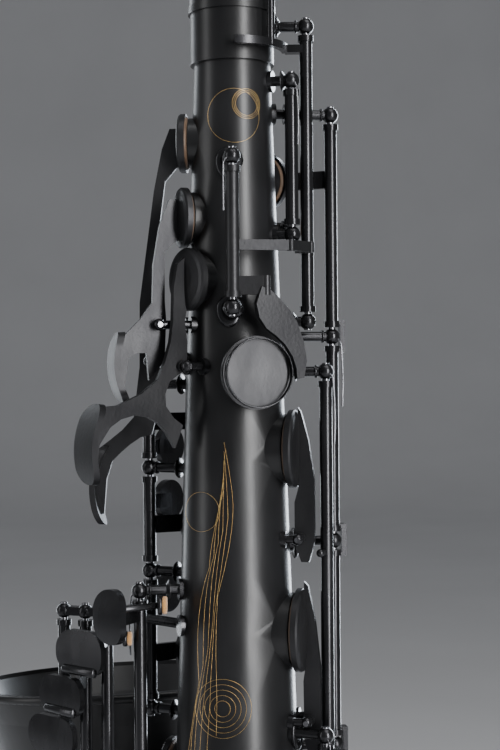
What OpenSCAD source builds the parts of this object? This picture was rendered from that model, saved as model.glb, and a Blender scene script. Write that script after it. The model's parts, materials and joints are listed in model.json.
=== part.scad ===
// Alto saxophone, upright. +Z runs up the body tube, +Y faces the bell, -Y faces the player and
// +X is the player's right. The origin is the centre of the strap ring's hole.
// Heights inside the model are measured from a level a quarter of a metre below the neck seam.
// A bearing is an angle round the tube: 0 faces the player, +90 is the player's right.

/* [Body tube] */
// Height of the seam under the neck receiver
seam_z = 252; // [250:1:254]
// Outside radius of the tube at the seam
top_r = 13; // [12.8:0.1:13.2]
// Growth of the radius for each millimetre down the tube
taper = 0.033; // [0.032:0.001:0.034]
// Height of the tube's lower end, where the bow starts
bow_z = -225; // [-227:1:-223]
// Wall of the tube, the bow and the bell
wall = 0.9; // [0.8:0.1:1.1]
// How far a tone hole's rim stands off the tube
rim_h = 0.8; // [0.7:0.1:1]

/* [Bow and bell] */
// Distance between the body's axis and the bell's foot
bow_span = 88; // [86:1:90]
// Outside radius of the bow's tube
bow_r = 30.5; // [30:0.1:31]
// Lean of the bell away from the body, in degrees
bell_lean = 5.5; // [5:0.1:6]
// Length of the bell along its own axis
bell_len = 249; // [245:1:253]
// Outside radius of the bell's mouth
mouth_r = 61; // [60:0.5:62]

/* [Neck] */
// Outside radius of the neck receiver
receiver_r = 14.2; // [14:0.1:14.4]
// Height of the neck receiver
receiver_h = 19.5; // [19:0.5:20]
// Radius of the neck's tenon
tenon_r = 12; // [11.8:0.1:12.1]
// Radius of the neck at its cork end
neck_tip_r = 7.4; // [7.2:0.1:7.6]
// Radius of the neck's sweep
neck_bend = 58; // [57:1:59]

/* [Keywork] */
// Radius of the steel hinge rods
rod_r = 1.25; // [1.2:0.05:1.3]
// Outside radius of a hinge tube
tube_r = 2.2; // [2.1:0.05:2.3]
// Radial play of a hinge tube on its rod
play = 0.05; // [0.03:0.01:0.08]
// Radius of a post's ball
ball_r = 2.8; // [2.7:0.1:3]
// Radius of a pivot screw's shank
pin_r = 0.9; // [0.8:0.05:1]
// Thickness of a pad
pad_h = 2.4; // [2.2:0.1:2.6]
// Gap between a closed pad and the rim of its tone hole
pad_gap = 0.2; // [0.15:0.05:0.3]
// Thickness of a key's cup
cup_h = 3.6; // [3.5:0.1:3.8]
// Opening angle of the keys that stand open, in degrees
open_angle = 9; // [8:1:10]

/* [Strap ring and rests] */
// Radius of the hole in the strap ring
ring_hole = 6.5; // [6:0.5:7]
// Width of the strap ring along the hole
ring_w = 4; // [3:0.5:5]
// Distance of the strap ring's hole from the tube's axis
ring_out = 33; // [32.5:0.5:34]
// Height of the strap ring
ring_z = -5; // [-6:1:-4]
// Radius of the thumb rest
rest_r = 12; // [11.5:0.5:12.5]

/* [Hidden] */
$fn = 48;

// The tone holes: bearing, height and radius of the key's cup. The hole is a little smaller.
PALM_F = [-119, 226, 10];
PALM_EB = [-98, 200, 10.2];
PALM_D = [-80, 179, 10.5];
HIGH_E = [118, 214, 10.5];
SIDE_C = [52, 122, 13.2];
SIDE_BB = [52, 61, 14];
KEY_B = [180, 131, 10];
KEY_A = [180, 95, 11.5];
KEY_G = [180, 50, 13];
G_SHARP = [-135, 12, 10.5];
KEY_F = [180, -30, 15];
KEY_E = [180, -70, 16];
KEY_D = [180, -112, 17];
LOW_EB = [108, -150, 16];
LOW_C = [108, -195, 18];
BODY_HOLES = [PALM_F, PALM_EB, PALM_D, HIGH_E, SIDE_C, SIDE_BB, KEY_B, KEY_A, KEY_G, G_SHARP, KEY_F,
    KEY_E, KEY_D, LOW_EB, LOW_C];
// On the bell: side (1 is the player's right), height and radius of the key's cup.
CSHARP = [-1, -186, 18];
LOW_B = [1, -118, 20];
LOW_BB = [1, -52, 21];
BELL_HOLES = [CSHARP, LOW_B, LOW_BB];

// Plan positions of the upright hinge rods.
UPPER_ROD = [-21, 26.5];
LOWER_ROD = [-26, 31.8];
GSHARP_ROD = [-32.2, 7.4];
CSHARP_ROD = [-32, 41];
B_ROD = [-38, 47];
BB_ROD = [-44, 53];
E_ROD = [32.8, -8.8];
SIDE_C_ROD = [26.8, -15.4];
SIDE_BB_ROD = [20.8, -24.8];
LOW_ROD = [42, -16];
OCTAVE_ROD = [-10.6, -22.7];
ROCKER_ROD = [22.1, -11.7];
PIP_ROD = [15.7, -13.2];
// Radial distance and height of the cross hinges of the palm and side keys.
PALM_D_PIVOT = [22, 150];
PALM_EB_PIVOT = [27, 164];
PALM_F_PIVOT = [28.5, 152];
SIDE_C_PIVOT = [22.5, 92];
SIDE_BB_PIVOT = [25, 31];
// Where the neck's key turns, on top of the neck.
NECK_PIVOT_TURN = 48;

rod_bore = rod_r + play;
pin_bore = pin_r + play;
gold = "#c9a04a";
lacquer = "#141416";
nickel = "#3a3b40";
satin = "#6d6f73";
leather = "#b08a5c";
steel = "#8d9095";
hard_rubber = "#0d0d0e";
cane = "#d9bf83";
cork_tan = "#c39a63";

function r_at(z) = top_r + (seam_z - z) * taper;
function on(r, bearing, z) = [r * sin(bearing), -r * cos(bearing), z];
function rim_at(hole) = r_at(hole[1]) + rim_h;
// Radius of the surface that a post stands on.
function skin_r(z) = z > seam_z ? receiver_r : r_at(z);
function bell_y(z) = bow_span + (z - bow_z) * tan(bell_lean);
function bell_r(s) = 31.4 + 9 * s + (mouth_r - 40.4) * pow(s, 6);
function bell_at(z) = bell_r((z - bow_z) / cos(bell_lean) / bell_len);
function bell_rim(hole) = bell_at(hole[1] + hole[2]) + 0.9;

module placed() {
    translate([0, ring_out, -ring_z]) children();
}

module spoke(bearing) {
    rotate([0, 0, bearing - 90]) children();
}

// Carries a tone hole's own frame: +Z leaves the tube through the hole.
module at_hole(hole) {
    spoke(hole[0]) translate([0, 0, hole[1]]) rotate([0, 90, 0]) children();
}

module at_bell_hole(hole) {
    translate([0, bell_y(hole[1]), hole[1]]) rotate([0, 90 * hole[0], 0]) children();
}

module strut(a, b, r) {
    d = b - a;
    translate(a)
        rotate([0, acos(d[2] / norm(d)), atan2(d[1], d[0])])
            cylinder(r = r, h = norm(d), $fn = 24);
}

// A flat bar from a to b, t thick and w high.
module bar(a, b, w, t) {
    d = b - a;
    translate(a)
        rotate([0, acos(d[2] / norm(d)) - 90, atan2(d[1], d[0])])
            translate([0, -t / 2, -w / 2]) cube([norm(d), t, w]);
}

module swung(rod, angle) {
    translate([rod[0], rod[1], 0])
        rotate([0, 0, angle])
            translate([-rod[0], -rod[1], 0]) children();
}

module upright(rod, z0, z1, r) {
    translate([rod[0], rod[1], z0]) cylinder(r = r, h = z1 - z0);
}

module cone_solid(extra) {
    translate([0, 0, bow_z - extra])
        cylinder(
            r1 = r_at(bow_z - extra),
            r2 = r_at(seam_z + extra),
            h = seam_z - bow_z + 2 * extra,
            $fn = 96
        );
}

module cup_shape(r) {
    rotate_extrude($fn = 64)
        polygon([
            [0, pad_h],
            [r - 0.95, pad_h],
            [r - 0.95, 0.9],
            [r, 0.9],
            [r, cup_h - 0.9],
            [r - 0.5, cup_h - 0.3],
            [r - 1.6, cup_h + 0.1],
            [r * 0.5, cup_h + 0.5],
            [0, cup_h + 0.6]
        ]);
}

module pad_shape(r) {
    cylinder(r = r - 1, h = pad_h);
}

module cup(hole) {
    at_hole(hole) translate([0, 0, rim_at(hole) + pad_gap]) cup_shape(hole[2]);
}

module pad(hole) {
    color(leather) at_hole(hole) translate([0, 0, rim_at(hole) + pad_gap]) pad_shape(hole[2]);
}

module bell_cup(hole) {
    at_bell_hole(hole) translate([0, 0, bell_rim(hole) + pad_gap]) cup_shape(hole[2]);
}

module bell_pad(hole) {
    color(leather) at_bell_hole(hole) translate([0, 0, bell_rim(hole) + pad_gap]) pad_shape(hole[2]);
}

// The point on top of a cup's middle where its arm lands.
function cup_top(hole) = on(rim_at(hole) + pad_gap + cup_h + 0.9, hole[0], hole[1]);
function bell_cup_top(hole) =
    [hole[0] * (bell_rim(hole) + pad_gap + cup_h + 0.9), bell_y(hole[1]), hole[1]];

module body_tube() {
    color(lacquer) difference() {
        union() {
            cone_solid(0);
            for (hole = BODY_HOLES)
                at_hole(hole) cylinder(r = hole[2] - 1.5, h = rim_at(hole));
            spoke(75) translate([0, 0, 197]) rotate([0, 90, 0])
                cylinder(r = 2, h = r_at(197) + 1.6, $fn = 32);
        }
        translate([0, 0, bow_z - 1])
            cylinder(
                r1 = r_at(bow_z - 1) - wall,
                r2 = r_at(seam_z + 1) - wall,
                h = seam_z - bow_z + 2,
                $fn = 96
            );
        for (hole = BODY_HOLES)
            at_hole(hole) cylinder(r = hole[2] - 2.3, h = rim_at(hole) + 5);
        spoke(75) translate([0, 0, 197]) rotate([0, 90, 0]) cylinder(r = 1, h = 40, $fn = 32);
    }
}

module neck_receiver() {
    color(lacquer) difference() {
        union() {
            translate([0, 0, seam_z]) cylinder(r = receiver_r, h = receiver_h, $fn = 96);
            translate([0, 0, seam_z + receiver_h - 2.4]) cylinder(r = receiver_r + 0.7, h = 2.4, $fn = 96);
            spoke(150) for (side = [-1, 1])
                translate([receiver_r - 1, side * 2.6 - 1.5, seam_z + 8]) cube([9, 3, 9]);
        }
        translate([0, 0, seam_z - 1]) cylinder(r = tenon_r + 0.02, h = receiver_h + 2, $fn = 96);
        spoke(150) translate([0, -1.1, seam_z + 4]) cube([receiver_r + 10, 2.2, receiver_h]);
        spoke(150) translate([receiver_r + 4.5, 0, seam_z + 12.5]) rotate([90, 0, 0])
            cylinder(r = 1.6, h = 20, center = true);
    }
}

module receiver_screw() {
    color(steel) spoke(150) translate([receiver_r + 4.5, 0, seam_z + 12.5]) rotate([90, 0, 0]) {
        cylinder(r = 1.6, h = 8.2, center = true);
        translate([0, 0, 4.1]) cylinder(r = 3, h = 2.4);
        translate([0, 0, 6.4]) cylinder(r = 5.2, h = 1.8);
    }
}

// The bell's outside as a solid, in its own frame with +Z along its axis.
module bell_solid(shrink, reach) {
    steps = 24;
    rotate_extrude($fn = 96)
        polygon(concat(
            [[0, -reach]],
            [[bell_r(0) - shrink, -reach]],
            [for (i = [0:steps]) [bell_r(i / steps) - shrink, bell_len * i / steps]],
            [[mouth_r - shrink, bell_len + reach]],
            [[0, bell_len + reach]]
        ));
}

module in_bell_frame() {
    translate([0, bow_span, bow_z]) rotate([-bell_lean, 0, 0]) children();
}

module bell() {
    color(lacquer) difference() {
        union() {
            in_bell_frame() {
                bell_solid(0, 0);
                translate([0, 0, bell_len]) rotate_extrude($fn = 96)
                    translate([mouth_r - 0.6, 0]) circle(r = 1.7, $fn = 32);
            }
            for (hole = BELL_HOLES)
                at_bell_hole(hole) cylinder(r = hole[2] - 1.5, h = bell_rim(hole));
        }
        in_bell_frame() bell_solid(wall, 4);
        for (hole = BELL_HOLES)
            at_bell_hole(hole) cylinder(r = hole[2] - 2.3, h = bell_rim(hole) + 5);
        translate([0, bow_span / 2, bow_z - 50]) cube([200, 200, 100], center = true);
    }
}

module bow() {
    color(lacquer) difference() {
        union() {
            translate([0, bow_span / 2, bow_z]) rotate([0, -90, 0]) rotate([0, 0, -90])
                half_ring(bow_r);
            translate([0, 0, bow_z - 10]) cylinder(r = bow_r + 1, h = 10, $fn = 96);
            translate([0, bow_span, bow_z - 10]) cylinder(r = bow_r + 2, h = 10, $fn = 96);
        }
        translate([0, bow_span / 2, bow_z]) rotate([0, -90, 0]) rotate([0, 0, -90])
            half_ring(bow_r - wall);
        translate([0, 0, bow_z - 2]) cylinder(r = r_at(bow_z) - wall, h = 4, $fn = 96);
        translate([0, bow_span, bow_z - 2]) cylinder(r = bow_r - wall + 0.4, h = 4, $fn = 96);
        translate([0, 0, bow_z - 10.5]) cylinder(r = bow_r - wall - 1.2, h = 10, $fn = 96);
        translate([0, bow_span, bow_z - 10.5]) cylinder(r = bow_r - wall - 1.2, h = 10, $fn = 96);
    }
}

// The lower half of a ring in the plane of the bow.
module half_ring(r) {
    intersection() {
        rotate_extrude($fn = 128) translate([bow_span / 2, 0]) circle(r = r, $fn = 64);
        translate([-200, -200, -100]) cube([400, 200, 200]);
    }
}

module bell_brace() {
    color(nickel) difference() {
        union() {
            for (z = [-6]) {
                strut([0, r_at(z) - 1, z], [0, 45, z], 3);
                strut([0, 45, z], [0, bell_y(z), z], 3);
                translate([0, 44, z - 3.5]) difference() {
                    cylinder(r = 9, h = 7);
                    translate([0, 0, -1]) cylinder(r = 5.5, h = 9);
                }
            }
            strut([0, 0, -6], [0, r_at(-6) + 2, -6], 7);
            strut([0, bell_y(-6) - bell_at(-6) - 3.4, -6], [0, bell_y(-6), -6], 8);
        }
        cone_solid(0);
        in_bell_frame() bell_solid(0, 0);
        translate([0, 44, -10]) cylinder(r = 5.5, h = 10);
    }
}

module post(rod, z) {
    bearing = atan2(rod[0], -rod[1]);
    strut([rod[0], rod[1], z], on(skin_r(z) - 3, bearing, z), 1.7);
    translate([rod[0], rod[1], z]) sphere(r = ball_r, $fn = 32);
    at_hole([bearing, z]) cylinder(r = 3.6, h = skin_r(z) + 1.1, $fn = 32);
}

module bell_post(rod, z) {
    foot = [0, bell_y(z), z];
    top = [rod[0], rod[1], z];
    d = top - foot;
    strut(top, foot, 1.9);
    translate(top) sphere(r = ball_r, $fn = 32);
    strut(foot, foot + d / norm(d) * (bell_at(z) + 1.4), 4);
}

// A pair of small posts that carry the cross hinge of a palm or side key.
module cross_posts(bearing, pivot, half) {
    spoke(bearing) for (side = [-1, 1]) {
        y = side * (half + 2);
        translate([pivot[0], y, pivot[1]]) sphere(r = 2, $fn = 32);
        strut([pivot[0], y, pivot[1]], [r_at(pivot[1]) - 3, y, pivot[1]], 1.4);
        foot = sqrt(pow(r_at(pivot[1]), 2) - y * y) + 1;
        strut([r_at(pivot[1]) - 4, y, pivot[1]], [foot, y, pivot[1]], 2.8);
    }
}

function post_list() = [
    [UPPER_ROD, 144], [UPPER_ROD, 115], [UPPER_ROD, 79], [UPPER_ROD, 31],
    [LOWER_ROD, -9], [LOWER_ROD, -50.5], [LOWER_ROD, -91.5], [LOWER_ROD, -133],
    [GSHARP_ROD, 75], [GSHARP_ROD, -3],
    [E_ROD, 236], [E_ROD, 160], [E_ROD, 90], [E_ROD, 20], [E_ROD, -30],
    [SIDE_C_ROD, 148], [SIDE_C_ROD, -26],
    [SIDE_BB_ROD, 27.5], [SIDE_BB_ROD, -20],
    [LOW_ROD, -128], [LOW_ROD, -172.5], [LOW_ROD, -217],
    [OCTAVE_ROD, 218], [OCTAVE_ROD, 169],
    [ROCKER_ROD, 265], [ROCKER_ROD, 165],
    [PIP_ROD, 246], [PIP_ROD, 194.2]
];
function bell_post_list() = [[CSHARP_ROD, -203], [B_ROD, -133], [BB_ROD, -66]];
LOW_TOP = 63;
function rods() = [
    [UPPER_ROD, 31, 144], [LOWER_ROD, -133, -9], [GSHARP_ROD, -3, 75], [CSHARP_ROD, -203, LOW_TOP],
    [B_ROD, -133, LOW_TOP], [BB_ROD, -66, LOW_TOP], [E_ROD, -30, 236], [SIDE_C_ROD, -26, 148],
    [SIDE_BB_ROD, -20, 27.5], [LOW_ROD, -217, -128], [OCTAVE_ROD, 169, 218], [ROCKER_ROD, 165, 265],
    [PIP_ROD, 194.2, 246]
];
function crosses() = [
    [-80, PALM_D_PIVOT, 2.6], [-98, PALM_EB_PIVOT, 1.6], [-119, PALM_F_PIVOT, 2.6],
    [52, SIDE_C_PIVOT, 3], [52, SIDE_BB_PIVOT, 3]
];

module posts() {
    color(nickel) difference() {
        union() {
            for (p = post_list()) post(p[0], p[1]);
            for (p = bell_post_list()) bell_post(p[0], p[1]);
            for (c = crosses()) cross_posts(c[0], c[1], c[2]);
            bar([CSHARP_ROD[0], CSHARP_ROD[1], LOW_TOP], [BB_ROD[0], BB_ROD[1], LOW_TOP], 3, 4);
            strut([CSHARP_ROD[0], CSHARP_ROD[1], LOW_TOP], on(r_at(LOW_TOP) - 3, -95, LOW_TOP), 1.7);
            at_hole([-97, LOW_TOP]) cylinder(r = 3.6, h = r_at(LOW_TOP) + 1.1, $fn = 32);
            for (rod = [CSHARP_ROD, B_ROD, BB_ROD])
                translate([rod[0], rod[1], LOW_TOP]) sphere(r = ball_r, $fn = 32);
        }
        cone_solid(0);
        translate([0, 0, seam_z - 1]) cylinder(r = receiver_r, h = receiver_h, $fn = 96);
        in_bell_frame() bell_solid(0, 0);
        for (r = rods()) upright(r[0], r[1] - 5, r[2] + 5, rod_r);
        for (c = crosses()) cross_pin(c[0], c[1], c[2] + 6, pin_r);
        for (hole = BODY_HOLES)
            at_hole(hole) translate([0, 0, r_at(hole[1]) * 0.5]) cylinder(r = hole[2] - 1.5, h = 30);
    }
}

module cross_pin(bearing, pivot, half, r) {
    spoke(bearing) translate([pivot[0], 0, pivot[1]]) rotate([90, 0, 0])
        cylinder(r = r, h = 2 * half, center = true, $fn = 32);
}

module hinge_rods() {
    color(steel) for (r = rods()) {
        difference() {
            upright(r[0], r[1] - 2.9, r[2] + 2.9, rod_r);
            translate([r[0][0], r[0][1], r[2] + 2.6]) cube([4, 0.6, 1.2], center = true);
        }
    }
}

module pivot_screws() {
    color(steel) for (c = crosses()) {
        cross_pin(c[0], c[1], c[2] + 3.9, pin_r);
    }
    color(steel) at_neck(NECK_PIVOT_TURN) translate([0, 13, 0]) rotate([0, 90, 0])
        cylinder(r = pin_r, h = 15, center = true, $fn = 32);
}

module thumb_rest() {
    z = 147.7;
    color(satin) difference() {
        spoke(-6) translate([0, 0, z]) rotate([0, 90, 0]) {
            cylinder(r = 7, h = r_at(z) + 3.4);
            translate([0, 0, r_at(z) + 3.2]) cylinder(r1 = 8, r2 = rest_r, h = 2.2, $fn = 64);
            translate([0, 0, r_at(z) + 5.3]) cylinder(r = rest_r, h = 1.4, $fn = 64);
            translate([0, 0, r_at(z) + 6.6]) cylinder(r = rest_r - 0.9, h = 0.6, $fn = 64);
        }
        cone_solid(0);
    }
}

module radial_plate(bearing, thick, outline) {
    spoke(bearing) rotate([90, 0, 0]) linear_extrude(thick, center = true) polygon(outline);
}

module thumb_hook() {
    z = -75;
    r = r_at(z);
    color(satin) difference() {
        union() {
            radial_plate(6, 14, [[r - 4, z + 10], [r + 2.4, z + 8], [r + 3.4, z - 3], [r + 14, z - 5],
                [r + 20, z - 1], [r + 21.5, z - 3], [r + 20, z - 8], [r + 12, z - 11],
                [r + 2.4, z - 12],
                [r - 4, z - 16]]);
            at_hole([6, z + 14]) cylinder(r = 7, h = r + 1.6);
            at_hole([6, z + 14]) cylinder(r = 3.2, h = r + 4.6);
        }
        cone_solid(0);
    }
}

module strap_ring() {
    color(nickel) difference() {
        union() {
            translate([0, -ring_out, ring_z]) rotate([0, 90, 0])
                cylinder(r = ring_hole + 3, h = ring_w, center = true, $fn = 64);
            translate([0, -ring_out / 2 - 6.5, ring_z]) cube([ring_w, 20, 10], center = true);
            at_hole([0, ring_z]) cylinder(r = 8, h = r_at(ring_z) + 1.4);
        }
        cone_solid(0);
        translate([0, -ring_out, ring_z]) rotate([0, 90, 0])
            cylinder(r = ring_hole, h = 40, center = true, $fn = 64);
    }
}

// The neck: a tenon, a swept tapered tube and a straight end for the cork.
NECK_TURN = 98;
NECK_STEPS = 12;
neck_foot = seam_z + receiver_h + 12;
function neck_at(a) = [0, -neck_bend * (1 - cos(a)), neck_foot + neck_bend * sin(a)];
function neck_r(a) = 12.4 - (12.4 - neck_tip_r - 0.9) * a / NECK_TURN;

// A tapered tube swept round the neck's bend: rings of points joined into one closed skin.
NECK_SIDES = 32;
module neck_solid(shrink, reach) {
    turns = concat([-reach], [for (i = [0:NECK_STEPS]) NECK_TURN * i / NECK_STEPS],
        [NECK_TURN + reach]);
    rings = [for (a = turns) let(r = neck_r(a) - shrink, c = neck_at(a))
        [for (k = [0:NECK_SIDES - 1]) let(t = 360 * k / NECK_SIDES)
            c + [r * cos(t), r * sin(t) * cos(a), r * sin(t) * sin(a)]]];
    last = len(turns) - 1;
    polyhedron(
        points = [for (ring = rings) each ring],
        faces = concat(
            [[for (k = [0:NECK_SIDES - 1]) k]],
            [for (i = [0:last - 1], k = [0:NECK_SIDES - 1]) let(n = (k + 1) % NECK_SIDES)
                [i * NECK_SIDES + n, i * NECK_SIDES + k,
                    (i + 1) * NECK_SIDES + k, (i + 1) * NECK_SIDES + n]],
            [[for (k = [NECK_SIDES - 1:-1:0]) last * NECK_SIDES + k]]
        )
    );
}

module at_neck_end() {
    translate(neck_at(NECK_TURN)) rotate([NECK_TURN, 0, 0]) children();
}

module at_neck(a) {
    translate(neck_at(a)) rotate([a, 0, 0]) children();
}

module neck_tenon() {
    color(lacquer) difference() {
        union() {
            translate([0, 0, seam_z + 1]) cylinder(r = tenon_r, h = receiver_h, $fn = 96);
            translate([0, 0, seam_z + receiver_h]) cylinder(r = receiver_r + 0.4, h = 3, $fn = 96);
            translate([0, 0, seam_z + receiver_h]) cylinder(r = 12.9, h = 10.6, $fn = 96);
        }
        translate([0, 0, seam_z]) cylinder(r = tenon_r - 1, h = receiver_h + 12.2, $fn = 96);
    }
}

module neck_tube() {
    color(lacquer) difference() {
        union() {
            neck_solid(0, 0.6);
            at_neck_end() translate([0, 0, 0.3]) cylinder(r1 = neck_r(NECK_TURN), r2 = neck_tip_r, h = 16);
            at_neck_end() translate([0, 0, 12]) cylinder(r = neck_tip_r, h = 32);
            at_neck(NECK_PIVOT_TURN) translate([0, 12.5, 0]) cube([7, 7, 4.4], center = true);
        }
        neck_solid(1.1, 1.2);
        at_neck_end() translate([0, 0, -3]) cylinder(r = neck_tip_r - 1.1, h = 60);
        at_neck(NECK_PIVOT_TURN) translate([0, 13, 0]) rotate([0, 90, 0])
            cylinder(r = pin_r, h = 20, center = true, $fn = 32);
    }
}

module neck_cork() {
    color(cork_tan) at_neck_end() translate([0, 0, 16.2]) difference() {
        cylinder(r = neck_tip_r + 0.6, h = 27.4);
        translate([0, 0, -1]) cylinder(r = neck_tip_r, h = 30);
    }
}

MP_START = 23;
module mouthpiece() {
    bore_r = neck_tip_r + 0.65;
    color(hard_rubber) at_neck_end() translate([0, 0, MP_START]) difference() {
        union() {
            cylinder(r = 11.6, h = 15, $fn = 64);
            translate([0, 0, 15]) cylinder(r1 = 11.6, r2 = 10.9, h = 4, $fn = 64);
            translate([0, 0, 19]) cylinder(r = 10.9, h = 26, $fn = 64);
            translate([0, 0, 45]) cylinder(r1 = 10.9, r2 = 8.6, h = 42, $fn = 64);
        }
        translate([0, 0, -1]) cylinder(r = bore_r, h = 24);
        translate([0, 0, 10]) cylinder(r = 5.6, h = 40);
        translate([-20, 10.9, 45]) rotate([-70, 0, 0]) translate([0, -60, 0]) cube([40, 60, 30]);
        translate([-20, -27.4, 26]) cube([40, 20, 80]);
        translate([-4.6, -9, 52]) rotate([-7, 0, 0]) cube([9.2, 8, 60]);
    }
}

module reed() {
    color(cane) at_neck_end() translate([0, 0, MP_START]) difference() {
        translate([-6.3, -10.2, 28]) cube([12.6, 2.8, 58.6]);
        translate([-10, -10.2, 56]) rotate([-5, 0, 0]) translate([0, -5, 0]) cube([20, 5, 40]);
    }
}

module ligature() {
    color(gold) at_neck_end() translate([0, 0, MP_START + 30]) {
        difference() {
            union() {
                cylinder(r = 12.9, h = 14, $fn = 64);
                for (side = [-1, 1])
                    translate([side * 3.4 - 1, -17, 0]) cube([2, 6, 14]);
            }
            translate([0, 0, -1]) cylinder(r = 12.1, h = 16, $fn = 64);
            translate([-2.4, -20, -1]) cube([4.8, 9, 16]);
        }
        for (z = [3.5, 10.5])
            translate([-4.4, -14.8, z]) rotate([0, 90, 0]) {
                cylinder(r = 1.1, h = 14);
                translate([0, 0, 11]) cylinder(r = 3, h = 4);
            }
    }
}

module arm(points, z, w, t) {
    for (i = [0:len(points) - 2]) {
        a = points[i];
        b = points[i + 1];
        bar([a[0], a[1], z], [b[0], b[1], z], w, t);
        translate([b[0], b[1], z - w / 2 - 0.15]) cylinder(r = t * 0.66, h = w + 0.3, $fn = 24);
    }
}

module hinge_tube(rod, z0, z1) {
    upright(rod, z0, z1, tube_r);
    upright(rod, z0, z0 + 2, tube_r + 0.5);
    upright(rod, z1 - 2, z1, tube_r + 0.5);
}

module bored(rod) {
    difference() {
        children();
        upright(rod, -300, 300, rod_bore);
    }
}

// A curved finger plate: long way up Z, wide across Y, its face toward +X.
module spatula(long, wide, thick, bend) {
    round_r = min(long, wide) * 0.46;
    intersection() {
        translate([-bend, 0, 0]) rotate([90, 0, 0]) difference() {
            cylinder(r = bend + thick / 2, h = wide + 2, center = true, $fn = 96);
            cylinder(r = bend - thick / 2, h = wide + 4, center = true, $fn = 96);
        }
        rotate([0, 90, 0]) linear_extrude(40, center = true) {
            for (i = [-1, 1], j = [-1, 1])
                translate([i * (long / 2 - round_r), j * (wide / 2 - round_r)]) circle(r = round_r);
            square([long, wide - 2 * round_r], center = true);
            square([long - 2 * round_r, wide], center = true);
        }
    }
}

module pearl_seat(bearing, r, z, size) {
    spoke(bearing) translate([r, 0, z]) rotate([0, 90, 0]) {
        cylinder(r = size, h = 1.2);
        difference() {
            cylinder(r = size, h = 2.6);
            translate([0, 0, 1.2]) cylinder(r = size - 0.9, h = 3);
        }
        translate([0, 0, 1.1]) cylinder(r = size - 1, h = 1.7);
        cylinder(r1 = 2, r2 = size - 1, h = 1);
    }
}

// A stack key on an upright rod: tube, cup, arm and a seat for the finger.
module stack_key(rod, hole, z0, z1, touch_z, touch_r) {
    top = cup_top(hole);
    color(nickel) swung(rod, open_angle) bored(rod) union() {
        hinge_tube(rod, z0, z1);
        cup(hole);
        difference() {
            bar([rod[0], rod[1], hole[1]], [0, top[1] - 0.3, hole[1]], 6, 1.8);
            at_hole(hole) cylinder(r = hole[2] - 1, h = rim_at(hole) + pad_gap + pad_h);
        }
        translate([0, top[1] - 1.2, hole[1]]) rotate([-90, 0, 0]) cylinder(r = 3.4, h = 1.6, $fn = 32);
        bar([rod[0], rod[1], touch_z], on(touch_r + 0.4, -160, touch_z), 5, 1.8);
        pearl_seat(-160, touch_r, touch_z, 7);
    }
}

module stack_pad(rod, hole) {
    swung(rod, open_angle) pad(hole);
}

module key_b() { stack_key(UPPER_ROD, KEY_B, 118.2, 140.8, 122, 30.5); }
module key_a() { stack_key(UPPER_ROD, KEY_A, 82.2, 111.8, 103, 31); }
module key_g() { stack_key(UPPER_ROD, KEY_G, 34.2, 75.8, 70, 32); }
module key_f() { stack_key(LOWER_ROD, KEY_F, -47.3, -12.2, -20, 37); }
module key_e() { stack_key(LOWER_ROD, KEY_E, -88.3, -53.7, -60, 38); }
module key_d() { stack_key(LOWER_ROD, KEY_D, -129.8, -94.7, -101, 39); }

// A palm key: cup, plate and finger touch in one radial plane, turning on a cross hinge.
module cross_key(bearing, pivot, half, hole, plate, thick) {
    difference() {
        union() {
            cup(hole);
            difference() {
                radial_plate(bearing, thick, plate);
                at_hole(hole) cylinder(r = hole[2] - 0.5, h = rim_at(hole) + pad_gap + pad_h + 0.3);
            }
            cross_pin(bearing, pivot, half - 0.1, 2);
            children();
        }
        cross_pin(bearing, pivot, 20, pin_bore);
    }
}

module palm_d() {
    plate = [[19.2, 187], [23, 184], [24.6, 176], [25, 165], [26, 158], [28, 152], [31, 145.5],
        [37.5, 141],
        [46, 137.5], [53, 137], [56, 134], [57, 120], [54, 118], [53, 125], [49, 130.5],
        [45, 133], [40, 134.2],
        [35, 133.5], [31, 131.5], [28, 128.5], [26, 125.5], [24.5, 123], [21.4, 130.5], [25, 133],
        [28, 137],
        [28.2, 141], [26.5, 145], [23.5, 147], [19.8, 149], [19.5, 158], [20.4, 165], [19.2, 171]];
    color(satin) cross_key(-80, PALM_D_PIVOT, 2.6, PALM_D, plate, 1.8)
        spoke(-80) translate([57.5, 0, 125.5]) rotate([0, -6, 0]) spatula(26, 12, 2, 26);
}

module palm_eb() {
    plate = [[18, 206], [22.5, 206], [26, 197], [28.2, 184], [28.6, 171.5], [32.4, 166.3],
        [39.6, 159], [41.7, 150], [40.9, 143], [38.4, 144], [37, 153], [34, 154.6], [30.8, 154.6],
        [30, 145.5], [24.6, 152], [24, 166],
        [24.4, 171.8], [24.4, 188.5], [18, 194]];
    color(satin) cross_key(-98, PALM_EB_PIVOT, 1.6, PALM_EB, plate, 2)
        spoke(-98) translate([41.7, 0, 149.4]) rotate([0, 4, 0]) spatula(24, 12, 2.2, 24);
}

module palm_f() {
    plate = [[17.2, 231], [21.5, 231], [24.2, 224], [27, 210], [32.2, 172], [32.4, 150], [34.5, 133],
        [38.5, 128.6], [43, 125], [47, 122], [48, 100], [45, 100], [44, 112], [42, 118],
        [39, 121], [36, 123.6],
        [32.4, 126], [28.4, 127], [25.8, 137], [25.4, 150], [26, 166], [25.2, 198], [23.2, 213],
        [17.2, 220]];
    color(satin) cross_key(-119, PALM_F_PIVOT, 2.6, PALM_F, plate, 2)
        spoke(-119) translate([48.2, 0, 110]) rotate([0, -3, 0]) spatula(27, 12, 2, 28);
}

module side_c_cup() {
    plate = [[22, 136], [23, 134.5], [25.5, 125], [27.4, 111.5], [27.4, 91], [25.4, 84],
        [22.8, 84], [20.6, 90],
        [20.6, 104], [22, 109]];
    color(satin) cross_key(52, SIDE_C_PIVOT, 3, SIDE_C, plate, 2);
}

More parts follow.
